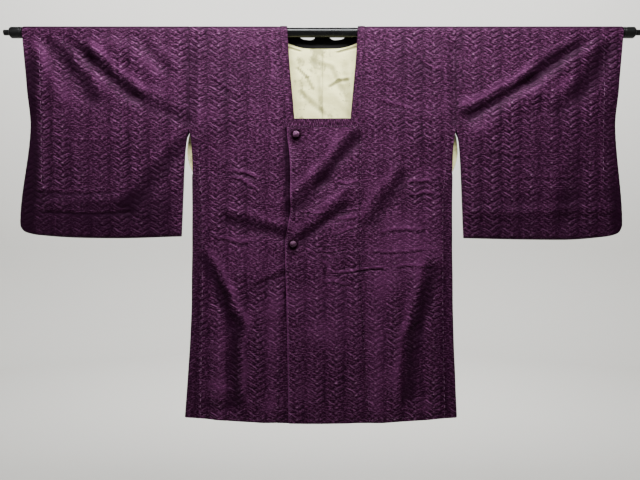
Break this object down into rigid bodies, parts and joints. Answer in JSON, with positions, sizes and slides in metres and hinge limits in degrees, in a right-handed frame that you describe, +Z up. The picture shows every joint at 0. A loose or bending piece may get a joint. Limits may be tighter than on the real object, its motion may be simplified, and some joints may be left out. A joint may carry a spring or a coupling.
{
  "type": "michiyuki coat on hanging rod",
  "caption": "Hip-length square-necked silk coat with wide sleeves and an overlapped, buttoned front, hung flat on a round rod through its sleeves.",
  "frame": {"origin": "middle of the rod, on its axis, where the coat's centre line crosses it", "axes": "+X along the rod to the wearer's left, the viewer's right; -Y out of the front of the coat; +Z up"},
  "size_m": [1.412, 0.047, 0.8772],
  "materials": {
    "jacquard_silk": "deep purple silk jacquard with a woven wickerwork pattern and a soft satin sheen",
    "button_silk": "the same purple silk, stretched over a ball mould",
    "lining_silk": "cream plain-weave silk with soft wrinkles and faint age marks",
    "facing_silk": "black satin strip, bare",
    "rod_paint": "glossy black paint on steel pipe",
    "cap_plastic": "black moulded plastic, slightly worn at its edges"
  },
  "bodies": {
    "root": {"rod_pipe": "rod_paint", "rod_cap_left": "cap_plastic", "rod_cap_right": "cap_plastic", "body_left": "jacquard_silk", "body_right": "jacquard_silk", "sleeve_left": "jacquard_silk", "sleeve_right": "jacquard_silk", "side_gusset_left": "jacquard_silk", "side_gusset_right": "jacquard_silk", "front_overlap_left": "jacquard_silk", "front_overlap_right": "jacquard_silk", "neck_band": "jacquard_silk", "neck_band_front": "jacquard_silk", "back_lining_left": "lining_silk", "back_lining_right": "lining_silk", "back_neck_facing": "facing_silk", "button_upper": "button_silk", "button_lower": "button_silk"}
  },
  "joints": []
}
